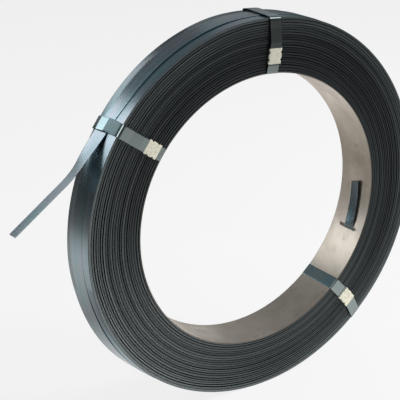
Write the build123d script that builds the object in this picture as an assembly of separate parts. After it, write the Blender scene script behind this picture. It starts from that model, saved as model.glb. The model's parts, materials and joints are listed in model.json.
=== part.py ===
from build123d import *
import math
import os

# Sizes in millimetres, angles in degrees. The coil's axis lies along Y and its front end looks towards -Y.
# Angles round the axis are counted from straight up, clockwise as seen from the front.
# Places along the axis are counted from the middle of the width, positive towards the back.

# Strap and coil
strap_width = 32.0
strap_thickness = 0.8
coil_width = 68.0
winding_depth = 77.2
seat_gap = 0.2
lap_place = 1.0

# Turns on the ends of the coil: groups of turns stand out and in by turns
turn_groups = 10
turn_relief = 1.4
turn_phase = 137.5
front_turn_phase = 90.0

# Core hoop with the slit that holds the strap's inner end
core_bore = 406.0
core_sheet = 1.0
slit_angle = 112.0
slit_clearance = 0.6
inner_end_place = -1.5
inner_end_length = 76.0

# Loose outer end of the strap: a straight lead, a bend outwards and a straight run, twisting as it goes
tail_place = 9.0
tail_lift = 2.0
tail_lead = 45.0
tail_bend_length = 40.0
tail_bend = 15.0
tail_run = 105.0
tail_twist = 15.0
tail_twist_start = 10.0
tail_twist_length = 70.0
tail_bite = 0.35
tail_spans = 4

# Ties round the section of the coil, each closed by a crimped seal on the front end
tie_width = 19.0
tie_thickness = 0.5
tie_overlap = 7.0
left_tie_angle = -54.8
top_tie_angle = 3.4
right_tie_angle = 137.4
left_seal_radius = 222.5
top_seal_radius = 227.0
right_seal_radius = 242.0

# Crimped seals
seal_length = 25.0
seal_sheet = 0.9
seal_clearance = 0.1
notch_depth = 1.8
notch_spacing = 10.0

# Radii and places that follow from the sizes above
half_width = coil_width / 2
core_inner_radius = core_bore / 2
core_outer_radius = core_inner_radius + core_sheet
coil_inner_radius = core_outer_radius + seat_gap
rim_radius = coil_inner_radius + winding_depth
lap_radius = rim_radius + strap_thickness
tie_front_place = -(half_width + seat_gap + seal_sheet + seal_clearance)
tie_back_place = half_width + seat_gap
tie_corner = 2 * seat_gap
channel_width = tie_width + 2 * seal_clearance
channel_height = 2 * tie_thickness + 2 * seal_clearance
seal_width = channel_width + 2 * seal_sheet
seal_height = channel_height + 2 * seal_sheet
seal_place = tie_front_place - tie_thickness


def turned_to(angle):
    return Rot(0, angle - 90, 0)


def section_box(inner, outer, front, back):
    return Pos((inner + outer) / 2, (front + back) / 2) * Rectangle(outer - inner, back - front)


def group_inset(group, phase):
    if group in (0, turn_groups - 1):
        return 0.0
    return turn_relief / 2 * (1 + math.sin(math.radians(turn_phase * group + phase)))


def stepped_end(side, phase):
    pitch = winding_depth / turn_groups
    points = []
    for group in range(turn_groups):
        place = side * (half_width - group_inset(group, phase))
        radius = coil_inner_radius + pitch * group
        points += [(radius, place), (radius + pitch, place)]
    return points


def wound_ring():
    lap_back = lap_place + strap_width / 2
    lap_front = lap_place - strap_width / 2
    lap = [(rim_radius, lap_back), (lap_radius, lap_back), (lap_radius, lap_front), (rim_radius, lap_front)]
    outline = stepped_end(1, 0) + lap + stepped_end(-1, front_turn_phase)[::-1]
    return revolve(make_face(Polyline(*outline, close=True)), Axis.Y, 360)


def tail_point(distance):
    root_angle = math.radians(left_tie_angle)
    heading = math.radians(-left_tie_angle - tail_lift)
    bend = math.radians(tail_bend)
    lead = min(distance, tail_lead)
    bent = min(max(distance - tail_lead, 0), tail_bend_length)
    run = max(distance - tail_lead - tail_bend_length, 0)
    turned = heading - bend * bent / tail_bend_length
    bend_radius = tail_bend_length / bend
    root = lap_radius - strap_thickness / 2 - tail_bite
    left = lead * math.cos(heading) + run * math.cos(turned)
    down = lead * math.sin(heading) + run * math.sin(turned)
    left += bend_radius * (math.sin(heading) - math.sin(turned))
    down += bend_radius * (math.cos(turned) - math.cos(heading))
    return Vector(root * math.sin(root_angle) - left, tail_place, root * math.cos(root_angle) - down), turned


def tail_section(distance):
    centre, heading = tail_point(distance)
    ahead = Vector(-math.cos(heading), 0, -math.sin(heading))
    outward = Vector(-math.sin(heading), 0, math.cos(heading))
    share = min(max((distance - tail_twist_start) / tail_twist_length, 0), 1)
    twist = math.radians(tail_twist) * share * share * (3 - 2 * share)
    across = Vector(0, -math.cos(twist), 0) + outward * math.sin(twist)
    return Plane(origin=centre, x_dir=across, z_dir=ahead) * Rectangle(strap_width, strap_thickness)


def tail():
    bend_end = tail_lead + tail_bend_length
    stations = [tail_lead * span / tail_spans for span in range(tail_spans)]
    stations += [tail_lead + tail_bend_length * span / tail_spans for span in range(tail_spans)]
    stations += [bend_end, tail_twist_start + tail_twist_length, bend_end + tail_run]
    return loft([tail_section(station) for station in sorted(set(stations))], ruled=True)


def inner_end():
    front = inner_end_place - strap_width / 2
    back = inner_end_place + strap_width / 2
    outer = core_inner_radius - seat_gap / 2
    sweep_angle = math.degrees(inner_end_length / core_inner_radius)
    blade = revolve(section_box(outer - strap_thickness, outer, front, back), Axis.Y, sweep_angle)
    reach = coil_inner_radius + strap_thickness - outer + strap_thickness
    bridge = Box(reach, strap_width, strap_thickness)
    bridge = Pos(outer - strap_thickness + reach / 2, inner_end_place, strap_thickness / 2) * bridge
    return turned_to(slit_angle - sweep_angle) * blade + turned_to(slit_angle) * bridge


def strap_coil():
    return wound_ring() + tail() + inner_end()


def core_hoop():
    hoop = revolve(section_box(core_inner_radius, core_outer_radius, -half_width, half_width), Axis.Y, 360)
    slit_length = strap_width + 2 * slit_clearance
    slit_height = strap_thickness + 2 * slit_clearance
    slit = Box(4 * core_sheet, slit_length, slit_height)
    slit = Pos(core_inner_radius + core_sheet / 2, inner_end_place, strap_thickness / 2) * slit
    return hoop - turned_to(slit_angle) * slit


def notches(seal_radius):
    side = 2 * notch_depth
    edge = seal_width / 2 + side / math.sqrt(2) - notch_depth
    tools = []
    for along in (-notch_spacing / 2, notch_spacing / 2):
        for across in (-edge, edge):
            tool = Rot(0, 45, 0) * Box(side, 2 * seal_height, side)
            tools.append(Pos(seal_radius + along, seal_place, across) * tool)
    return tools


def tie(seal_radius):
    inner = math.sqrt((core_inner_radius - seat_gap / 2) ** 2 - (tie_width / 2) ** 2)
    outer = lap_radius + seat_gap
    space = fillet(section_box(inner, outer, tie_front_place, tie_back_place).vertices(), tie_corner)
    band = offset(space, tie_thickness) - space
    reach = seal_length / 2 + tie_overlap
    lap_front = tie_front_place - 2 * tie_thickness
    band += section_box(seal_radius - reach, seal_radius + reach, lap_front, tie_front_place - tie_thickness / 2)
    return extrude(band, tie_width / 2, both=True)


def seal(seal_radius):
    sleeve = Box(seal_length, seal_height, seal_width) - Box(2 * seal_length, channel_height, channel_width)
    return Pos(seal_radius, seal_place, 0) * sleeve


def place_part(shape, angle, cuts=()):
    for cut in cuts:
        shape = shape - cut
    return turned_to(angle) * shape


parts = {"strap_coil": strap_coil(), "core_hoop": core_hoop()}
tie_places = {
    "left": (left_tie_angle, left_seal_radius),
    "top": (top_tie_angle, top_seal_radius),
    "right": (right_tie_angle, right_seal_radius),
}
for name, (angle, seal_radius) in tie_places.items():
    crimps = notches(seal_radius)
    parts[f"tie_{name}"] = place_part(tie(seal_radius), angle, crimps)
    parts[f"seal_{name}"] = place_part(seal(seal_radius), angle, crimps)

os.makedirs("parts", exist_ok=True)
for node, shape in parts.items():
    export_step(shape, f"parts/{node}.step")
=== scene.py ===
import json
import math

import bpy
import numpy as np
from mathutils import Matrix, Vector


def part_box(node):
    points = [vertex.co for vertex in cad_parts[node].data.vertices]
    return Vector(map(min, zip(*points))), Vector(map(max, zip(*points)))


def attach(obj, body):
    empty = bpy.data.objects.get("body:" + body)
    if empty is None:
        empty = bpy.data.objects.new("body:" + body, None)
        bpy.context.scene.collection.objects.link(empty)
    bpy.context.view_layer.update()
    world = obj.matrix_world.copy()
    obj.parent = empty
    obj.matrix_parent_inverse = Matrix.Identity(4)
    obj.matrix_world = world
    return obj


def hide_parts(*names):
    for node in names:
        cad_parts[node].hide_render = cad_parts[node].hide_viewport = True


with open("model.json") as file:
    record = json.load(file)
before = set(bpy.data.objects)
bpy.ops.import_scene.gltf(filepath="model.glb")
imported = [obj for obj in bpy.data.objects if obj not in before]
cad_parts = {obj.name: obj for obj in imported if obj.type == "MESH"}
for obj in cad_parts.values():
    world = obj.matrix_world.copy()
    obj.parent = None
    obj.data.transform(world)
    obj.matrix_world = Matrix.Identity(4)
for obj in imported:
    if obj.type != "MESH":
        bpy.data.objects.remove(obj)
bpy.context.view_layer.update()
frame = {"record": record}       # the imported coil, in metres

mm = 0.001
coil = {
    "bore": frame["record"]["mounts"][0]["dims"]["r_mm"] * mm,
    "half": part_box("core_hoop")[1].y,       # half the coil's width
    "coreSheet": 1.0 * mm,
    "seat": 0.2 * mm,                       # between the core and the first turn
    "depth": 77.2 * mm,                     # all turns together, measured outwards
    "strapWidth": 32 * mm,
    "strapThick": 0.8 * mm,
    "strapEdge": 0.2 * mm,                  # rounding of the strap's edges
}
innerRadius = coil["bore"] + coil["coreSheet"] + coil["seat"]
rimRadius = innerRadius + coil["depth"]
lapRadius = rimRadius + coil["strapThick"]
floorHeight = -lapRadius
# Where the ties are, in degrees from straight up, clockwise from the front
tieAngles = {"left": -54.8, "top": 3.4, "right": 137.4}
print("frame loaded, rim radius", round(rimRadius, 4))


# Points at an angle round the axis (degrees from straight up), a radius and a place along the axis
def ringPoint(angle, radius, place):
    turned = np.radians(angle)
    x, y, z = np.broadcast_arrays(radius * np.sin(turned), place, radius * np.cos(turned))
    return np.stack([x, y, z], -1)


# Eased step: 0 below low, 1 above high, 3t^2 - 2t^3 between
def eased(low, high, value):
    t = np.clip((value - low) / (high - low), 0, 1)
    return t * t * (3 - 2 * t)


# Bell over an angle: a squared cosine, nothing beyond its span
def bell(away, span):
    return np.cos(np.pi / 2 * np.clip(away / span, -1, 1)) ** 2


# Quads of a grid counted row by row; a closed direction joins its last line to its first
def gridFaces(rows, columns, closeRows, closeColumns):
    r = np.arange(rows if closeRows else rows - 1)[:, None]
    c = np.arange(columns if closeColumns else columns - 1)[None, :]
    nextRow, nextColumn = (r + 1) % rows, (c + 1) % columns
    corners = [(r, c), (nextRow, c), (nextRow, nextColumn), (r, nextColumn)]
    counted = [row * columns + column for row, column in corners]
    return np.stack(np.broadcast_arrays(*counted), -1).reshape(-1, 4)


# Six times the volume inside a set of equal-sided faces: each face as a fan from its first corner
def fanVolume(points, faces):
    p = points[faces]
    first = np.broadcast_to(p[:, :1], p[:, 2:].shape)
    return np.einsum("ijk,ijk->", np.cross(p[:, 1:-1], p[:, 2:]), first)


def addObject(name, data):
    made = bpy.data.objects.new(name, data)
    bpy.context.scene.collection.objects.link(made)
    return made


# A smooth mesh piece from a list of points and a list of faces
def addPiece(name, points, faces):
    mesh = bpy.data.meshes.new(name)
    mesh.from_pydata(points.tolist(), [], faces)
    mesh.polygons.foreach_set("use_smooth", np.ones(len(mesh.polygons), bool))
    return addObject(name, mesh)


# A mesh piece from a grid of points. capped closes the first and last row with one face each.
# rowUse and columnUse are the UV map's two distances; marks are numbers kept on the points for the finish.
def gridPiece(name, points, closeRows=False, closeColumns=True, capped=False, rowUse=None, columnUse=None,
              marks=None, sharp=40):
    rows, columns = points.shape[:2]
    flat = points.reshape(-1, 3)
    quads = gridFaces(rows, columns, closeRows, closeColumns)
    caps = np.empty((0, columns), int)
    if capped:
        first = np.arange(columns)
        caps = np.stack([first, (first + (rows - 1) * columns)[::-1]])
    volume = fanVolume(flat, quads) + (fanVolume(flat, caps) if capped else 0)
    if volume < 0:      # inside out
        quads, caps = quads[:, ::-1], caps[:, ::-1]
    piece = addPiece(name, flat, quads.tolist() + caps.tolist())
    mesh = piece.data
    if rowUse is not None:
        rowOf, columnOf = np.divmod(np.concatenate([quads.ravel(), caps.ravel()]), columns)
        layer = mesh.uv_layers.new(name="strip")
        use = np.stack([rowUse[rowOf], columnUse[columnOf]], -1)
        layer.data.foreach_set("uv", use.astype(np.float32).ravel())
    for mark, values in (marks or {}).items():
        attribute = mesh.attributes.new(mark, "FLOAT", "POINT")
        attribute.data.foreach_set("value", values.astype(np.float32).ravel())
    mesh.set_sharp_from_angle(angle=math.radians(sharp))
    mesh.update()
    return piece


# Outline of a flat strip's section: two long sides and two small rounded ends, as across and up distances
def stripSection(width, thick, corner=coil["strapEdge"], sideSteps=12):
    side = np.linspace(-1, 1, sideSteps) * (width / 2 - corner)
    turn = np.radians(np.array([67.5, 45, 22.5]))       # the points of each quarter round
    roundUp = thick / 2 - corner + corner * np.sin(turn)
    endUp = np.concatenate([roundUp, -roundUp[::-1]])
    endAcross = width / 2 - corner + corner * np.cos(np.concatenate([turn, turn[::-1]]))
    across = np.concatenate([side, endAcross, side[::-1], -endAcross[::-1]])
    up = np.concatenate([np.full(sideSteps, thick / 2), endUp, np.full(sideSteps, -thick / 2), endUp[::-1]])
    return across, up


# A strip carried along a path: each path point has a direction across the strip and one out of its face.
# lift raises the section's points, given as one number for each path point and section point.
def stripPiece(name, centre, across, outward, width, thick, lift=0.0, corner=coil["strapEdge"]):
    a, b = stripSection(width, thick, corner)
    raised = np.broadcast_to(b + lift, (len(centre), len(a)))
    points = centre[:, None] + across[:, None] * a[:, None] + outward[:, None] * raised[..., None]
    steps = np.linalg.norm(np.diff(centre, axis=0), axis=1)
    length = np.concatenate([[0], np.cumsum(steps)])
    return gridPiece(name, points, capped=True, rowUse=length, columnUse=a / width + 0.5)


# Corners of a flat path rounded by short curves: each corner is left and met again at its own reach,
# and between the two the curve is the parabola with the corner as its middle control point
def roundedPath(corners, reaches, curveSteps=6, spacing=2 * mm):
    corners, reaches = np.asarray(corners, float), np.asarray(reaches, float)[:, None]
    middle, before, after = corners[1:-1], corners[:-2], corners[2:]
    back = (before - middle) / np.linalg.norm(before - middle, axis=1, keepdims=True)
    ahead = (after - middle) / np.linalg.norm(after - middle, axis=1, keepdims=True)
    t = np.linspace(0, 1, curveSteps)[None, :, None]
    start, end = (middle + back * reaches)[:, None], (middle + ahead * reaches)[:, None]
    curves = (1 - t) ** 2 * start + 2 * t * (1 - t) * middle[:, None] + t ** 2 * end
    path = np.concatenate([corners[:1], curves.reshape(-1, 2), corners[-1:]])
    length = np.concatenate([[0], np.cumsum(np.linalg.norm(np.diff(path, axis=0), axis=1))])
    even = np.linspace(0, length[-1], int(length[-1] / spacing))
    places = np.unique(np.concatenate([length, even]).round(6))     # to the micrometre, without twins
    return np.stack([np.interp(places, length, path[:, 0]), np.interp(places, length, path[:, 1])], -1)


def shade(red, green, blue):
    return (red, green, blue, 1.0)


def grey(level):
    return shade(level, level, level)


# One number or colour on its way through a finish; sums, products and powers of these add Math nodes
class Flow:
    def __init__(self, finish, socket):
        self.finish, self.socket = finish, socket

    def mathNode(self, operation, first, second=0.0):
        return self.finish.node("ShaderNodeMath", {"operation": operation}, {0: first, 1: second})

    def __add__(self, other):
        return self.mathNode("ADD", self, other)

    def __radd__(self, other):
        return self.mathNode("ADD", other, self)

    def __sub__(self, other):
        return self.mathNode("SUBTRACT", self, other)

    def __rsub__(self, other):
        return self.mathNode("SUBTRACT", other, self)

    def __mul__(self, other):
        return self.mathNode("MULTIPLY", self, other)

    def __rmul__(self, other):
        return self.mathNode("MULTIPLY", other, self)

    def __truediv__(self, other):
        return self.mathNode("DIVIDE", self, other)

    def __pow__(self, other):
        return self.mathNode("POWER", self, other)

    def __abs__(self):
        return self.mathNode("ABSOLUTE", self)


# The nodes of a material, or of the room, round its main shader;
# node() makes any other node from its type, settings and sockets
class Finish:
    def __init__(self, owner, shader="Principled BSDF"):
        owner.use_nodes = True
        self.owner, self.tree = owner, owner.node_tree
        self.shader = self.tree.nodes[shader]

    def feed(self, node, sockets):
        for key, value in sockets.items():
            socket = node.inputs[key]
            if isinstance(value, Flow):
                self.tree.links.new(value.socket, socket)
            else:
                socket.default_value = value

    # A stop is a position with a grey level or a colour
    def setStops(self, colourRamp, stops):
        while len(colourRamp.elements) < len(stops):
            colourRamp.elements.new(0.5)
        for element, (position, level) in zip(colourRamp.elements, stops):
            element.position = position
            element.color = level if isinstance(level, tuple) else grey(level)

    def node(self, kind, settings=None, sockets=None, out=0):
        made = self.tree.nodes.new(kind)
        for key, value in (settings or {}).items():
            if key == "stops":
                self.setStops(made.color_ramp, value)
            else:
                setattr(made, key, value)
        self.feed(made, sockets or {})
        return Flow(self, made.outputs[out])

    def parts(self, vector):
        split = self.node("ShaderNodeSeparateXYZ", None, {0: vector}).socket.node
        return [Flow(self, socket) for socket in split.outputs]

    def objectPlace(self):
        return self.parts(self.node("ShaderNodeTexCoord", out="Object"))

    # Along and across the strip, from its UV map
    def stripPlace(self):
        return self.parts(self.node("ShaderNodeUVMap", {"uv_map": "strip"}))[:2]

    def joined(self, x, y, z):
        return self.node("ShaderNodeCombineXYZ", None, {0: x, 1: y, 2: z})

    def noise(self, vector, scale=1.0, detail=3.0, rough=0.55):
        sockets = {"Vector": vector, "Scale": scale, "Detail": detail, "Roughness": rough}
        return self.node("ShaderNodeTexNoise", None, sockets)

    def ramp(self, value, *stops):
        return self.node("ShaderNodeValToRGB", {"stops": stops}, {0: value})

    def mix(self, share, first, second):
        ends = {0: share, 6: first, 7: second}
        return self.node("ShaderNodeMix", {"data_type": "RGBA"}, ends, 2)

    def bump(self, height, strength, distance):
        sockets = {"Height": height, "Strength": strength, "Distance": distance}
        return self.node("ShaderNodeBump", None, sockets)


# In every look a share is a ramp's stops: how much of the named colour there is, by the pattern's value

# Blued strap: long streaks round the coil, soft blue and grey patches, a waxed sheen. Its second argument
# paints shade over it all.
def bluedStrapFinish(name, shadeTone):
    look = {
        "slate": (0.275, 0.315, 0.365), "teal": (0.185, 0.325, 0.365), "pale": (0.45, 0.48, 0.505),
        "streaksAcross": 300, "streaksRound": 2.5, "patches": 11, "patchesAcross": 3,
        "tealShare": ((0.35, 0), (0.65, 1)), "paleShare": ((0.5, 0), (0.8, 0.7)),
        "rough": 0.15, "streakRough": 0.14, "patchRough": 0.1, "grain": 0.06, "grainDepth": 0.2 * mm,
    }
    slate, teal, pale = [shade(*[shadeTone * level for level in look[key]]) for key in ("slate", "teal", "pale")]
    finish = Finish(bpy.data.materials.new(name))
    x, y, z = finish.objectPlace()
    drawn = finish.joined(x * look["streaksRound"], y * look["streaksAcross"], z * look["streaksRound"])
    streak = finish.noise(drawn, detail=2.0)
    patch = finish.noise(finish.joined(x, y * look["patchesAcross"], z), look["patches"])
    base = finish.mix(finish.ramp(patch, *look["tealShare"]), slate, teal)
    finish.feed(finish.shader, {
        "Base Color": finish.mix(finish.ramp(streak, *look["paleShare"]), base, pale),
        "Metallic": 1.0,
        "Roughness": look["rough"] + streak * look["streakRough"] + patch * look["patchRough"],
        "Normal": finish.bump(streak, look["grain"], look["grainDepth"]),
    })
    return finish.owner


# Slit edges of the turns: each turn a little lighter or darker than the next, some edges bare and lighter,
# partly as painted glints; painted shade down in the gaps, and darker towards the bore
def turnEdgeFinish():
    look = {
        "dark": shade(0.22, 0.255, 0.268), "mid": shade(0.4, 0.458, 0.475), "bare": shade(0.64, 0.7, 0.72),
        # gap: near black, the painted shade down in the gaps
        "gap": shade(0.008, 0.009, 0.01), "inner": shade(0.012, 0.013, 0.015),
        "turns": 1090, "turnsRound": 5, "bands": 210, "bandsRound": 3,
        "midShare": ((0.3, 0), (0.75, 1)), "bareAndGlintShare": ((0.55, 0), (0.8, 0.6)),
        "gapShadeShare": ((0.1, 0), (0.75, 0.92)), "innerShare": ((0.0, 0.5), (0.6, 0.12), (0.9, 0.0)),
        "rough": 0.3, "lineRough": 0.16,
    }
    finish = Finish(bpy.data.materials.new("turnEdges"))
    x, _, z = finish.objectPlace()
    radius = (x * x + z * z) ** 0.5
    lined = finish.joined(x * look["turnsRound"], z * look["turnsRound"], radius * look["turns"])
    line = finish.noise(lined, detail=2.0)
    banded = finish.joined(x * look["bandsRound"], z * look["bandsRound"], radius * look["bands"])
    band = finish.noise(banded)
    inset = finish.node("ShaderNodeAttribute", {"attribute_name": "inset"}, None, "Fac")
    base = finish.mix(finish.ramp(band, *look["midShare"]), look["dark"], look["mid"])
    # lighter bare edges: partly the metal's own, partly painted glints
    wearAndPaintedLight = finish.mix(finish.ramp(line, *look["bareAndGlintShare"]), base, look["bare"])
    # painted shade: the deeper a turn's edge lies in, the nearer it goes to the gap's near black
    gapShaded = finish.mix(finish.ramp(inset, *look["gapShadeShare"]), wearAndPaintedLight, look["gap"])
    inward = finish.ramp((radius - innerRadius) / coil["depth"], *look["innerShare"])
    finish.feed(finish.shader, {
        "Base Color": finish.mix(inward, gapShaded, look["inner"]),
        "Metallic": 0.9,
        "Roughness": look["rough"] + line * look["lineRough"],
    })
    return finish.owner


# Bare mill sheet: warm grey, faint rolling lines, brown blotches and scuffs, painted shade along both edges
# that dims their highlight
def coreSheetFinish():
    look = {
        "bare": shade(0.535, 0.487, 0.42), "brown": shade(0.34, 0.29, 0.235),
        "scuffAndEdgeShade": shade(0.2, 0.175, 0.15), "blotches": 16,
        "rolledAcross": 260, "rolledRound": 3, "scoredAcross": 140, "scoredRound": 60,
        "brownShare": ((0.42, 0), (0.72, 0.75)), "scuffShare": ((0.59, 0), (0.71, 0.6)),
        "edgeShadeShare": ((0.965, 0), (0.985, 0.7)),
        "rough": 0.24, "blotchRough": 0.16, "rolledRough": 0.08, "grain": 0.08, "grainDepth": 0.2 * mm,
    }
    finish = Finish(bpy.data.materials.new("coreSheet"))
    x, y, z = finish.objectPlace()
    blotch = finish.noise(finish.joined(x, y, z), look["blotches"], detail=4.0, rough=0.6)
    lined = finish.joined(x * look["rolledRound"], y * look["rolledAcross"], z * look["rolledRound"])
    rolled = finish.noise(lined, detail=2.0)
    scored = finish.joined(x * look["scoredRound"], y * look["scoredAcross"], z * look["scoredRound"])
    scratch = finish.noise(scored, detail=5.0, rough=0.7)
    base = finish.mix(finish.ramp(blotch, *look["brownShare"]), look["bare"], look["brown"])
    scuffed = finish.mix(finish.ramp(scratch, *look["scuffShare"]), base, look["scuffAndEdgeShade"])
    # painted shade along both edges, in the scuff colour, to dim the highlight there
    edge = finish.ramp(abs(y) / coil["half"], *look["edgeShadeShare"])
    finish.feed(finish.shader, {
        "Base Color": finish.mix(edge, scuffed, look["scuffAndEdgeShade"]),
        "Metallic": 0.92,
        "Roughness": look["rough"] + blotch * look["blotchRough"] + rolled * look["rolledRough"],
        "Normal": finish.bump(rolled, look["grain"], look["grainDepth"]),
    })
    return finish.owner


# Tie strip: smooth blued steel, bluer in patches and behind the coil's front end, drawn lines along it,
# dark cut edges, partly painted shade
def tieFinish():
    look = {
        "steel": shade(0.315, 0.37, 0.368), "blue": shade(0.225, 0.352, 0.39),
        "edge": shade(0.05, 0.055, 0.06), "drawnAlong": 12, "drawnAcross": 26, "patches": 22,
        "behindShare": ((0.155, 0.15), (0.2, 1)), "behindSpan": 100 * mm,
        "blueLeast": 0.35, "blueShare": ((0.38, 0), (0.68, 0.65)), "edgeShadeShare": ((0.95, 0), (0.98, 0.85)),
        "rough": 0.1, "drawnRough": 0.14,
    }
    finish = Finish(bpy.data.materials.new("tieSteel"))
    x, y, z = finish.objectPlace()
    along, across = finish.stripPlace()
    drawn = finish.noise(finish.joined(along * look["drawnAlong"], across * look["drawnAcross"], 0.0))
    patch = finish.noise(finish.joined(x, y, z), look["patches"], detail=2.0)
    behind = finish.ramp(y / look["behindSpan"] + 0.5, *look["behindShare"])
    blue = behind * (look["blueLeast"] + finish.ramp(patch, *look["blueShare"]))
    flat = finish.mix(blue, look["steel"], look["blue"])
    # dark cut edges: partly the steel's own, partly painted shade for the thin shadow beside them and to dim
    # their glints
    aside = abs(across - 0.5) * 2.0     # 0 in the strip's middle, 1 at its edges
    finish.feed(finish.shader, {
        "Base Color": finish.mix(finish.ramp(aside, *look["edgeShadeShare"]), flat, look["edge"]),
        "Metallic": 1.0,
        "Roughness": look["rough"] + drawn * look["drawnRough"],
    })
    return finish.owner


# Zinc plated seal: cream, mottled with grey, greyed high up on the coil as painted shade
def sealFinish():
    look = {
        "cream": shade(0.87, 0.853, 0.7), "grey": shade(0.55, 0.54, 0.455), "mottles": 260,
        "highShadeShare": ((0.8, 0), (0.92, 0.45)), "highSpan": 500 * mm, "greyShare": ((0.45, 0), (0.75, 0.8)),
        "rough": 0.34, "mottleRough": 0.2, "grain": 0.15, "grainDepth": 0.4 * mm,
    }
    finish = Finish(bpy.data.materials.new("sealZinc"))
    x, y, z = finish.objectPlace()
    mottle = finish.noise(finish.joined(x, y, z), look["mottles"], rough=0.6)
    # painted shade: high up on the coil the seal is greyed to dim the light it gets
    shadedHigh = finish.ramp(z / look["highSpan"] + 0.5, *look["highShadeShare"])
    wearAndPaintedLight = shadedHigh + (1 - shadedHigh) * finish.ramp(mottle, *look["greyShare"])
    finish.feed(finish.shader, {
        "Base Color": finish.mix(wearAndPaintedLight, look["cream"], look["grey"]),
        "Metallic": 0.35,
        "Roughness": look["rough"] + mottle * look["mottleRough"],
        "Normal": finish.bump(mottle, look["grain"], look["grainDepth"]),
    })
    return finish.owner


# Pale paper floor that gives some light of its own, so that shadows on it stay faint
def floorFinish():
    look = {"paper": 0.07, "glow": 0.83}
    finish = Finish(bpy.data.materials.new("paleFloor"))
    finish.feed(finish.shader, {
        "Base Color": grey(look["paper"]),
        "Roughness": 0.9,
        "Specular IOR Level": 0.0,
        "Emission Color": grey(1.0),
        "Emission Strength": look["glow"],
    })
    return finish.owner


# Light on the floor as the steel reflects it: soft round pools over a dim ground that fades far away
# and behind the coil
def lightPoolFinish():
    look = {
        "ground": ((0.0, 0.28), (0.5, 0.31), (0.92, 0.15), (1.0, 0.09)), "groundReach": 2.5,
        "behind": ((0.45, 1.0), (0.6, 0.6)), "behindSpan": 4.0,
        # Each pool has its middle, its reach and its brightness
        "pools": [((-0.51, 0.52), 0.48, 0.78), ((-0.17, 0.09), 0.17, 0.65), ((0.26, 0.45), 0.45, 0.72),
                  ((-0.12, -0.28), 0.27, 1.15), ((-0.05, -0.4), 0.6, 0.54), ((0.29, -0.17), 0.28, 0.42),
                  ((0.75, -0.6), 0.6, 0.3), ((0.43, -1.2), 0.5, 0.4)],
        "shoulder": (0.45, 0.7),        # part of the way out, and the brightness left there
        "tint": (1.02, 0.99, 0.96),
    }
    finish = Finish(bpy.data.materials.new("lightPool"))
    x, y, _ = finish.objectPlace()
    glow = finish.ramp((x * x + y * y) ** 0.5 / look["groundReach"], *look["ground"])
    glow = glow * finish.ramp(y / look["behindSpan"] + 0.5, *look["behind"])
    shoulder, left = look["shoulder"]
    for (right, back), reach, level in look["pools"]:
        away = ((x - right) ** 2.0 + (y - back) ** 2.0) ** 0.5 / reach
        glow = glow + finish.ramp(away, (0.0, level), (shoulder, left * level), (1.0, 0.0))
    finish.feed(finish.shader, {
        "Base Color": grey(0.0),
        "Roughness": 1.0,
        "Specular IOR Level": 0.0,
        "Emission Color": finish.joined(*[glow * level for level in look["tint"]]),
        "Emission Strength": 1.0,
    })
    return finish.owner


# The inner end's strap is a darkened copy: painted shade for its place inside the bore
strapSteel, shadedInnerStrap = bluedStrapFinish("bluedStrap", 1.0), bluedStrapFinish("innerStrapShaded", 0.6)
edgeSteel, coreSteel = turnEdgeFinish(), coreSheetFinish()
tieSteel, sealZinc = tieFinish(), sealFinish()
print("finishes made")


def dress(piece, finishes, slot, *nodes):
    for material in finishes:
        piece.data.materials.append(material)
    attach(piece, "root")
    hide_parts(*nodes)


# How the outermost turn lies. Its progress round the coil is counted in degrees from the tail's root,
# clockwise from the front.
outer = {
    # Loose tail: a lead, a bend and a run, twisted as it goes
    "tailPlace": 9 * mm, "tailLift": 0.8, "lead": 57 * mm, "bendLength": 40 * mm, "bend": 17.8,
    "run": 93.4 * mm, "twist": 16.2, "twistStart": 10 * mm, "twistLength": 70 * mm,
    "tailStart": 2 * mm, "tailSteps": 90, "leanFade": 60 * mm,
    # Turn on the rim: its place along the axis, where it goes over from the tail's, and its heights
    "place": 2 * mm, "shiftFrom": -3, "shiftTo": 8, "turnSteps": 721, "lift": 0.9 * mm, "liftPower": 3,
    "sink": 1.0 * mm, "sinkFrom": 312, "sinkTo": 345, "dip": 1.2 * mm, "dipSpan": 16,
    "bulge": 0.7 * mm, "bulgeAt": 300, "bulgeSpan": 20,
    # Lean of the rim's back edge in millimetres, by angle from straight up, and how far to smooth it
    "leanSmooth": 5,
    "leanAngles": (-175, -168, -158, -148, -140, -132, -121, -112, -104,
                   -96, -88, -73, -57, -35, -12, 12, 35),
    "leanSizes": (0, 1, 5, 8.5, 9.5, 9, 6, 2.5, 0.3,
                  -2, -4, -6, -6.2, -4, -2, -0.5, 0),
}


# The winding isn't quite round: towards its back edge it lies in at the upper left and stands out, loose,
# at the lower left. The mean of the listed sizes at angles close by, from nothing at the front edge
# to all of it at the back edge.
def lean(angle, place):
    nearby = np.linspace(-outer["leanSmooth"], outer["leanSmooth"], 11)
    around = (np.asarray(angle)[..., None] + nearby + 180) % 360 - 180
    back = np.interp(around, outer["leanAngles"], np.array(outer["leanSizes"]) * mm).mean(-1)
    return back * np.clip(0.5 + 0.5 * place / coil["half"], 0, 1)


# Radius of the outermost turn's outside: near its end it sinks to pass under its own start,
# and it dips under the top tie
def turnHeight(progress):
    dip = outer["dip"] * bell(progress - (tieAngles["top"] - tieAngles["left"]), outer["dipSpan"])
    return lapRadius - outer["sink"] * eased(outer["sinkFrom"], outer["sinkTo"], progress) - dip


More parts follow.
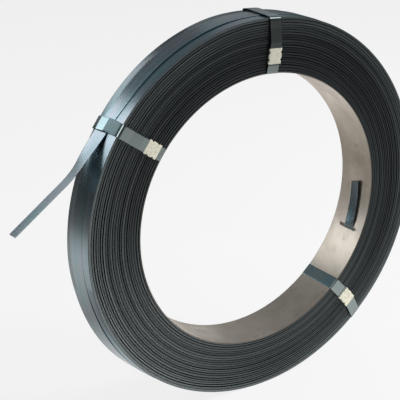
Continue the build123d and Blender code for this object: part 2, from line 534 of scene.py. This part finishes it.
# Wound turns, one half of the coil's width; side is -1 at the front and 1 at the back
turns = {
    "count": 84, "steps": 360, "seed": {-1: 11, 1: 23},
    "flat": (0.24, 0.76),                   # a turn's two shoulders, as shares of its thickness
    "base": 0.2 * mm, "least": 0.05 * mm, "groove": 0.45 * mm, "jitter": 0.14 * mm,
    "dish": 1.1 * mm, "dishPower": 0.6,     # hollow of the whole end
    "swing": 1.5 * mm, "swingTurns": 3.83, "swingStep": (0.5, 0.92), "drift": 0.1, "driftTurns": 17.0,
    "swell": 0.16, "swellTurns": 13.7, "slow": 0.2 * mm, "slowTurns": 11.3,
    "drop": {-1: 0.7 * mm, 1: 1.0 * mm}, "gap": 0.12 * mm,      # rim below the outermost turn
    "dropSway": 0.15, "swayWaves": 3, "swayStart": 40, "flushFrom": 306, "flushTo": 320,
    "cornerOut": 0.08 * mm, "cornerIn": 0.06 * mm, "rimIn": 0.2 * mm,       # rounding of the rim's edge
    "deepest": 3 * mm, "lastEdgeShade": 0.5,     # inset that is marked 1, and the painted shade mark of the last turn's edge
}


# Radius of the rim beside the outermost turn: a step below its edge, closed where the turn's end lies flush
def rimHeight(angle, side):
    progress = (angle - tieAngles["left"]) % 360
    drop = turns["drop"][side] * (1 - eased(turns["flushFrom"], turns["flushTo"], progress))
    wave = np.sin(np.radians(turns["swayWaves"] * angle + turns["swayStart"]))
    sway = 1 - turns["dropSway"] + turns["dropSway"] * wave
    return turnHeight(progress) - turns["gap"] - drop * sway


# How far each turn's edge lies in, by angle: two swings of the strap along its wound length,
# a hollow over all the turns and a small jitter for each turn
def turnInsets(angle, seam, side):
    order = np.arange(turns["count"])
    wound = order + (angle[:, None] - seam) / 360
    lap = 2 * np.pi * wound
    rng = np.random.default_rng(turns["seed"][side])
    jitter = turns["jitter"] * rng.standard_normal(turns["count"])
    phase = wound / turns["swingTurns"] + turns["drift"] * np.sin(lap / turns["driftTurns"])
    swing = eased(*turns["swingStep"], 0.5 - 0.5 * np.cos(2 * np.pi * phase + side))
    swing *= 1 - turns["swell"] / 2 + turns["swell"] * np.sin(lap / turns["swellTurns"] + side)
    slow = 0.5 - 0.5 * np.cos(lap / turns["slowTurns"] + 2 * side)
    dish = turns["dish"] * np.sin(np.pi * (order + 0.5) / turns["count"]) ** turns["dishPower"]
    inset = turns["base"] + turns["swing"] * swing + turns["slow"] * slow ** 2 + dish + jitter
    inset = np.clip(inset, turns["least"], None)
    inset[:, -2:] = turns["base"]       # the last two turns lie level
    return inset


# Rows go round the ring. Columns go up the inner wall, outwards over the edge of every turn, with one groove
# point and two shoulder points each, and back along the rim.
def woundTurns(name, side):
    count, steps = turns["count"], turns["steps"]
    seam = tieAngles["top"]         # the step from one wound turn to the next is under the top tie
    angle = seam + 360 * np.arange(steps) / steps
    inset = turnInsets(angle, seam, side)
    before = np.concatenate([inset[:, :1], inset[:, :-1]], 1)
    groove = np.maximum(inset, before) + turns["groove"]
    depth = np.stack([groove, inset, inset], -1).reshape(steps, -1)
    rimDepth = depth[:, -1:] + turns["rimIn"]
    plain = rimHeight(angle, side)[:, None]
    rim = plain + lean(angle, side * coil["half"])[:, None]
    rimMiddle = plain + lean(angle, 0.0)[:, None]
    wall, middle = np.full((steps, 1), innerRadius), np.zeros((steps, 1))
    share = (np.arange(count)[:, None] + np.array([0, *turns["flat"]])).ravel() / count
    radius = innerRadius + share * (rim - innerRadius)
    radius = np.concatenate([wall, wall, radius[:, 1:], rim - turns["cornerOut"], rim, rimMiddle], 1)
    inward = np.concatenate([depth, depth[:, -1:] + turns["cornerIn"], rimDepth], 1)
    place = side * np.concatenate([middle, coil["half"] - inward, middle], 1)
    marks = np.concatenate([depth[:, :1], depth, depth[:, -1:], rimDepth, middle], 1) / turns["deepest"]
    marks[:, -6:-1] = turns["lastEdgeShade"]     # painted shade along the last turn's edge, where it meets the rim
    points = ringPoint(angle[:, None], radius, place)
    piece = gridPiece(name, points, closeRows=True, marks={"inset": marks}, sharp=30)
    dress(piece, [edgeSteel, strapSteel], "strap_coil", "strap_coil")
    width = radius.shape[1]
    onRim = np.tile(np.arange(width) >= width - 3, steps)       # from the rim's edge on
    piece.data.polygons.foreach_set("material_index", onRim.astype(np.int32))


woundTurns("woundTurnsFront", -1)
woundTurns("woundTurnsBack", 1)
print("wound turns made")


# Tail's middle line at a distance from its root: a straight lead, an arc of the bend's length and
# a straight run. Its directions across and outward turn about that line by the twist.
def tailPath(distance):
    heading, bend = math.radians(-tieAngles["left"] - outer["tailLift"]), math.radians(outer["bend"])
    lead = np.minimum(distance, outer["lead"])
    bent = np.clip(distance - outer["lead"], 0, outer["bendLength"])
    run = np.maximum(distance - outer["lead"] - outer["bendLength"], 0)
    turned = heading - bend * bent / outer["bendLength"]
    bendRadius = outer["bendLength"] / bend
    left = lead * math.cos(heading) + run * np.cos(turned) + bendRadius * (math.sin(heading) - np.sin(turned))
    down = lead * math.sin(heading) + run * np.sin(turned) + bendRadius * (np.cos(turned) - math.cos(heading))
    root = ringPoint(tieAngles["left"], lapRadius - coil["strapThick"] / 2, outer["tailPlace"])
    centre = root - np.stack([left, 0 * left, down], -1)
    out = np.stack([-np.sin(turned), 0 * turned, np.cos(turned)], -1)
    twistEnd = outer["twistStart"] + outer["twistLength"]
    twist = math.radians(outer["twist"]) * eased(outer["twistStart"], twistEnd, distance)[:, None]
    axis = np.array([0.0, 1.0, 0.0])
    across = -np.cos(twist) * axis + np.sin(twist) * out
    outward = np.cos(twist) * out + np.sin(twist) * axis
    return centre, across, outward


# Place along the axis: it goes over from the tail's place to the turn's own
def turnPlace(progress):
    shift = 1 - eased(outer["shiftFrom"], outer["shiftTo"], progress)
    return outer["place"] + (outer["tailPlace"] - outer["place"]) * shift


# Outermost turn with its loose tail, one strip: from the tail's tip to the rim, then once round the coil
def outerTurn():
    length = outer["lead"] + outer["bendLength"] + outer["run"]
    fromRoot = np.linspace(length, outer["tailStart"], outer["tailSteps"])
    tailCentre, tailAcross, tailOutward = tailPath(fromRoot)
    progress = np.linspace(0, 360, outer["turnSteps"])
    angle, place = tieAngles["left"] + progress, turnPlace(progress)
    bulge = outer["bulge"] * bell(progress - outer["bulgeAt"], outer["bulgeSpan"])
    turnCentre = ringPoint(angle, turnHeight(progress) + bulge - coil["strapThick"] / 2, place)
    turnAcross = np.broadcast_to(np.array([0.0, -1.0, 0.0]), turnCentre.shape)
    centre = np.concatenate([tailCentre, turnCentre])
    across = np.concatenate([tailAcross, turnAcross])
    outward = np.concatenate([tailOutward, ringPoint(angle, 1.0, 0.0)])
    # The front edge stands up a little between the left tie and the top tie, where the turn lies loose
    span = tieAngles["top"] - tieAngles["left"]
    loose = np.where(progress < span, np.sin(np.pi * progress / span), 0)
    aside = stripSection(coil["strapWidth"], coil["strapThick"])[0]
    edge = np.clip(aside / coil["strapWidth"] + 0.5, 0, 1) ** outer["liftPower"]
    turnLift = outer["lift"] * loose[:, None] * edge + lean(angle[:, None], place[:, None] - aside)
    rootLean = lean(np.full(len(aside), tieAngles["left"]), outer["tailPlace"] - aside)
    tailLift = (1 - eased(0, outer["leanFade"], fromRoot))[:, None] * rootLean
    lift = np.concatenate([tailLift, turnLift])
    piece = stripPiece("outerTurn", centre, across, outward, coil["strapWidth"], coil["strapThick"], lift)
    dress(piece, [strapSteel], "strap_coil", "strap_coil")


outerTurn()
print("outer turn and tail made")


# Inner end of the strap, trimmed to a tongue: from behind the core through its slit and up along the core's
# wall. It leans towards the back as it goes up, its front edge comes off the wall and its end is cut
# at a slant.
innerTail = {
    "slit": 112.0, "top": 91.0, "under": 3.0, "steps": 90,      # angles from straight up
    "passFrom": 1.2, "passTo": -2.2,                            # where it passes the sheet, from the slit
    "place": (-4.5 * mm, 0.5 * mm), "width": 19 * mm, "gap": 0.5 * mm, "behindGap": 0.1 * mm,
    "lift": 3.2 * mm, "liftAtSlit": 0.25, "liftShare": 0.2, "slant": 1.6, "slantPower": 6,
}


def innerEnd():
    slit, thick = innerTail["slit"], coil["strapThick"]
    angle = np.linspace(slit + innerTail["under"], innerTail["top"], innerTail["steps"])
    passed = eased(slit + innerTail["passFrom"], slit + innerTail["passTo"], angle)
    inside = coil["bore"] - innerTail["gap"] - thick / 2
    behind = innerRadius + thick / 2 + innerTail["behindGap"]
    out = np.clip((slit - angle) / (slit - innerTail["top"]), 0, 1)
    a, b = stripSection(innerTail["width"], thick)
    across = a / innerTail["width"] + 0.5
    atSlit = innerTail["liftAtSlit"]
    rise = atSlit * eased(0, innerTail["liftShare"], out) + (1 - atSlit) * out
    lift = innerTail["lift"] * rise[:, None] * across
    turned = angle[:, None] - innerTail["slant"] * out[:, None] ** innerTail["slantPower"] * (across - 0.5)
    radius = (behind + (inside - behind) * passed)[:, None] - b - lift
    place = np.interp(out, [0, 1], innerTail["place"])[:, None] - a
    reach = coil["bore"] * np.radians(angle[0] - angle)
    points = ringPoint(turned, radius, place)
    piece = gridPiece("innerEnd", points, capped=True, rowUse=reach, columnUse=across)
    dress(piece, [shadedInnerStrap], "strap_coil", "strap_coil")


innerEnd()


# Core hoop: a sheet round the bore, very slightly out of round by two sine waves, with its slit left open.
# Solidify gives the sheet its thickness, less the slack that the waves take.
core = {
    "slitPlace": -1.5 * mm, "slitLength": 33.2 * mm, "slitHeight": 2.0 * mm, "steps": 720, "rows": 18,
    "edge": 0.2 * mm, "wave": 0.12 * mm, "waves": (5, 11), "waveStart": 60, "wavesAlong": 40,
    "slack": 0.15 * mm,
}


def coreHoop():
    angle = np.arange(core["steps"]) * 360 / core["steps"]
    half, edge, middle = core["slitLength"] / 2, coil["half"], innerTail["slit"]
    cut = math.degrees(core["slitHeight"] / coil["bore"]) / 2
    for side in (-cut, cut):        # two of the steps move to the slit's sides
        angle[np.argmin(abs(angle - middle - side))] = middle + side
    rows = np.linspace(-1, 1, core["rows"]) * (edge - core["edge"])
    slitEnds = core["slitPlace"] + np.array([-half, half])
    place = np.unique(np.concatenate([[-edge, edge], rows, slitEnds]).round(6))
    few, many = core["waves"]
    wave = np.sin(np.radians(few * angle))[:, None] * np.cos(place * core["wavesAlong"])
    wave = wave + np.sin(np.radians(many * angle + core["waveStart"]))[:, None]
    radius = coil["bore"] + core["wave"] * (wave + 2) / 4       # the two waves together go from -2 to 2
    points = ringPoint(angle[:, None], radius, place).reshape(-1, 3)
    quads = gridFaces(len(angle), len(place), True, False)[:, ::-1]
    centres = points[quads].mean(1)
    turned = np.degrees(np.arctan2(centres[:, 0], centres[:, 2]))
    inSlit = (abs(turned - middle) < cut) & (abs(centres[:, 1] - core["slitPlace"]) < half)
    piece = addPiece("coreHoop", points, quads[~inSlit].tolist())
    sheet = piece.modifiers.new("sheet", "SOLIDIFY")
    sheet.thickness, sheet.offset = coil["coreSheet"] - core["slack"], -1.0
    dress(piece, [coreSteel], "core_hoop", "core_hoop")


coreHoop()
print("core and inner end made")


# Ties: a flat strip once round the section of the coil, its second end lying over the first on the front,
# bent over the edges of the turns that it crosses on the rim
ties = {
    "width": 19 * mm, "thick": 0.5 * mm, "edge": 0.15 * mm,
    "front": -35.45 * mm, "back": 34.45 * mm, "inner": 202.4 * mm,
    "seal": {"left": 224.3 * mm, "top": 227.4 * mm, "right": 241 * mm},     # radius of each seal's middle
    "overlap": 7 * mm, "stub": 2 * mm,          # ends of the two layers, outwards and inwards of the seal
    # Second layer: it comes off the coil's end over a length beyond the first, but never so near to the rim
    "layerGap": 0.04 * mm, "riseFrom": 1 * mm, "rise": 20 * mm, "riseEnd": 8 * mm,
    "pull": 1.1 * mm,                           # drawn in over the bore's edge
    # How soon the strip's corners begin: at the bore's front, at the rim's front and elsewhere
    "bore": 3 * mm, "shoulder": {"left": 5.0 * mm, "top": 4.8 * mm, "right": 3.2 * mm}, "corner": 1.2 * mm,
    # Bends over the rim in millimetres, from the back to the front: height over the outermost turn, place
    "crown": {"left": ((-5.6, 34.45), (-1.0, 19.5), (1.5, -1.0), (-0.2, -35.45)),
              "top": ((-1.5, 34.45), (-0.04, 25), (-0.04, -22), (-1.2, -35.45)),
              "right": ((-1.0, 34.45), (0.15, 12), (0.15, -24), (-1.0, -35.45))},
    # Sideways on the front in millimetres: radius, how far the strip strays
    "sway": {"left": ((203, 0), (282, 0)),
             "top": ((203, -2.6), (227, -1.2), (248, 0), (282, -4.2)),
             "right": ((203, -0.8), (241, -0.5), (254, 0.7), (282, 7.5))},
    "swayFrom": -30 * mm, "swayTo": 25 * mm,
    "slant": {"left": -4 * mm, "top": 0.0, "right": 0.0}, "slantFrom": -10 * mm, "slantTo": 35 * mm,
}
seals = {
    "length": {"left": 21.5 * mm, "top": 21.5 * mm, "right": 25 * mm}, "width": 21 * mm, "height": 3 * mm,
    "sheet": 0.9 * mm, "corner": 0.7 * mm, "rows": 61, "sideSteps": 9,
    "notch": 1.8 * mm, "notchHalf": 2.4 * mm, "spacing": 10 * mm,
    "crown": 0.25 * mm, "crownPower": 4,        # both faces fall off towards the ends
}


# Places in a tie's own plane: out from the axis, along the axis and across the strip
def tiePlane(angle, out, place, across):
    sine, cosine = math.sin(math.radians(angle)), math.cos(math.radians(angle))
    return (np.multiply.outer(out, [sine, 0, cosine]) + np.multiply.outer(place, [0, 1, 0])
            + np.multiply.outer(across, [cosine, 0, -sine]))


# How far a tie strays sideways at a place of its path: as listed on the front, fading out over the rim,
# and by its slant on the back
def tieSway(which, out, place):
    radii, strays = np.array(ties["sway"][which]).T * mm
    front = np.interp(out, radii, strays) * (1 - eased(ties["swayFrom"], ties["swayTo"], place))
    back = np.clip((place - ties["slantFrom"]) / (ties["slantTo"] - ties["slantFrom"]), 0, 1)
    return front + ties["slant"][which] * back


# The path goes inwards under the seal, back along the bore, outwards along the back, over the rim
# to the front and inwards again over its own start
def tie(which):
    angle, sealOut = tieAngles[which], ties["seal"][which]
    half, thick = seals["length"][which] / 2, ties["thick"]
    reach, stub = half + ties["overlap"], half + ties["stub"]
    front, back, inner = ties["front"], ties["back"], ties["inner"]
    crown = [(lapRadius + thick / 2 + high * mm, place * mm) for high, place in ties["crown"][which]]
    second = front - thick - ties["layerGap"]
    risen = min(sealOut + reach + ties["rise"], lapRadius - ties["riseEnd"])
    corners = [
        (sealOut + reach, front), (sealOut - stub, front), (inner, front + ties["pull"]), (inner, back),
        *crown, (risen, front), (sealOut + reach + ties["riseFrom"], second), (sealOut - stub, second)]
    tight, wide = ties["corner"], ties["shoulder"][which]
    reaches = [tight, ties["bore"], tight, tight, tight, tight, wide, tight, tight]     # not for the two ends
    path = roundedPath(corners, reaches)
    tangent = np.gradient(path, axis=0)
    tangent /= np.linalg.norm(tangent, axis=1, keepdims=True)
    out, place = path.T
    centre = tiePlane(angle, out, place, tieSway(which, out, place))
    outward = tiePlane(angle, -tangent[:, 1], tangent[:, 0], np.zeros(len(path)))
    across = np.broadcast_to(tiePlane(angle, 0.0, 0.0, 1.0), centre.shape)
    name = "tie" + which.capitalize()
    piece = stripPiece(name, centre, across, outward, ties["width"], thick, corner=ties["edge"])
    dress(piece, [tieSteel], "tie", "tie_" + which)


# Seals: a flat sleeve round both layers of the tie. The section's outline runs round the tie; the grid's rows
# run out along the outside and back along the inside. Both side edges are pressed in at two notches.
def seal(which):
    angle, sealOut = tieAngles[which], ties["seal"][which]
    width, height, sheet = seals["width"], seals["height"], seals["sheet"]
    out = np.linspace(-1, 1, seals["rows"]) * seals["length"][which] / 2
    places = (-seals["spacing"] / 2, seals["spacing"] / 2)
    notch = sum(np.clip(1 - abs(out - place) / seals["notchHalf"], 0, 1) for place in places)
    squeeze = 1 - 2 * seals["notch"] * notch[:, None] / width
    a, b = stripSection(width, height, seals["corner"], seals["sideSteps"])
    inA, inB = a * (1 - 2 * sheet / width), b * (1 - 2 * sheet / height)
    fall = seals["crown"] * (out[:, None] / out[-1]) ** seals["crownPower"]
    outside = np.stack([a * squeeze, b - fall * np.sign(b)], -1)
    inside = np.stack(np.broadcast_arrays(inA * squeeze, inB), -1)
    section = np.concatenate([outside, inside[::-1]])
    along = np.concatenate([out, out[::-1]])
    place = ties["front"] - ties["thick"] / 2 - section[..., 1]
    far = np.broadcast_to(sealOut + along[:, None], place.shape)
    points = tiePlane(angle, far, place, section[..., 0] + tieSway(which, far, place))
    piece = gridPiece("seal" + which.capitalize(), points, closeRows=True, sharp=35)
    dress(piece, [sealZinc], "seal", "seal_" + which)


for which in tieAngles:
    tie(which)
    seal(which)
print("ties and seals made")


# Floor: the camera sees the pale disc; the steel reflects the pools of light on the one just below it
ground = {"radius": 12.0, "hole": 1 * mm, "sides": 96, "poolsBelow": 0.5 * mm}


def disc(name, height, finish):
    angle = np.linspace(0, 360, ground["sides"], endpoint=False)[:, None]
    points = ringPoint(angle, np.array([ground["hole"], ground["radius"]]), 0.0)
    points = np.stack([points[..., 0], points[..., 2], np.full(points.shape[:2], height)], -1)
    piece = gridPiece(name, points, closeRows=True, closeColumns=False)
    piece.data.materials.append(finish)
    return piece


def floor():
    seen = disc("floor", floorHeight, floorFinish())
    seen.visible_glossy = seen.visible_diffuse = False
    pools = disc("lightPool", floorHeight - ground["poolsBelow"], lightPoolFinish())
    pools.visible_camera = pools.visible_shadow = False


floor()

# Camera
photo = {"eye": (-0.8723, -1.2101, 0.5887), "toward": (0.50762, 0.78127, -0.36323),
         "lens": 99.06, "film": 36.0, "nearest": 0.05}
lens = bpy.data.cameras.new("camera")
lens.lens, lens.sensor_width, lens.clip_start = photo["lens"], photo["film"], photo["nearest"]
camera = addObject("camera", lens)
camera.location = photo["eye"]
camera.rotation_euler = Vector(photo["toward"]).to_track_quat("-Z", "Y").to_euler()
bpy.context.scene.camera = camera

# Lights; the key leaves no glints
lamps = {
    "softbox": {"at": (-0.69, 1.225, 0.46), "aim": (-0.23, 0, 0.16), "size": (0.36, 0.54), "power": 1.5},
    "bore": {"at": (-0.16, 0.35, 0.012), "aim": (0.178, 0, -0.098), "size": (0.1, 0.1), "power": 0.15,
             "tint": (0.93, 0.96, 1.0)},
    "fill": {"at": (-0.875, 1.03, 0.636), "aim": (-0.235, 0, 0.166), "size": (0.3, 0.3), "power": 0.1},
    "low": {"at": (0.32, 0.44, -0.18), "aim": (-0.086, 0, -0.184), "size": (0.12, 0.12), "power": 0.045},
    "key": {"at": (2.06, -0.85, 1.29), "aim": (0, 0, 0), "size": (0.9, 0.9), "power": 105, "glints": False},
    "front": {"at": (-1.5, -1.5, 1.25), "aim": (0, 0, 0), "size": (1.1, 1.1), "power": 9},
    "right": {"at": (1.5, -1.45, 1.85), "aim": (0, 0, 0.25), "size": (1.3, 1.3), "power": 11},
    "behind": {"at": (1.55, 2.3, 1.05), "aim": (0, 0, 0), "size": (1.3, 1.0), "power": 0.9},
    "back": {"at": (-0.19, 2.38, 0.55), "aim": (-0.19, 0, 0.1), "size": (1.06, 0.6), "power": 2.2},
    "overhead": {"at": (0.3, -0.45, 2.95), "aim": (0, 0, 0), "size": (3.0, 3.0), "power": 8},
}
for name, lamp in lamps.items():
    light = bpy.data.lights.new(name, "AREA")
    light.shape, light.energy = "RECTANGLE", lamp["power"]
    light.size, light.size_y = lamp["size"]
    light.color = lamp.get("tint", (1, 1, 1))
    holder = addObject(name, light)
    holder.location = lamp["at"]
    holder.rotation_euler = (Vector(lamp["at"]) - Vector(lamp["aim"])).to_track_quat("Z", "Y").to_euler()
    holder.visible_camera, holder.visible_glossy = False, lamp.get("glints", True)

# Room round the floor: dark at the horizon, dim above. Straight past the floor the camera sees plain
# pale paper.
room = {
    "paper": 0.887, "tint": (1.0, 1.03, 1.06),
    "levels": ((0.0, 0.05), (0.1, 0.08), (0.25, 0.16), (0.6, 0.19), (1.0, 0.35)),       # by height
}


def makeRoom():
    finish = Finish(bpy.data.worlds.new("room"), "Background")
    height = finish.parts(finish.node("ShaderNodeTexCoord", out="Generated"))[2]
    stops = [(at, shade(*[level * share for share in room["tint"]])) for at, level in room["levels"]]
    finish.feed(finish.shader, {"Color": finish.ramp(height, *stops)})
    dim = Flow(finish, finish.shader.outputs[0])
    paper = finish.node("ShaderNodeBackground", None, {"Color": grey(room["paper"])})
    toCamera = finish.node("ShaderNodeLightPath", out="Is Camera Ray")
    either = finish.node("ShaderNodeMixShader", None, {0: toCamera, 1: dim, 2: paper})
    finish.feed(finish.tree.nodes["World Output"], {"Surface": either})
    bpy.context.scene.world = finish.owner


makeRoom()
bpy.context.scene.view_settings.view_transform = "Standard"
print("floor, camera and lights made")
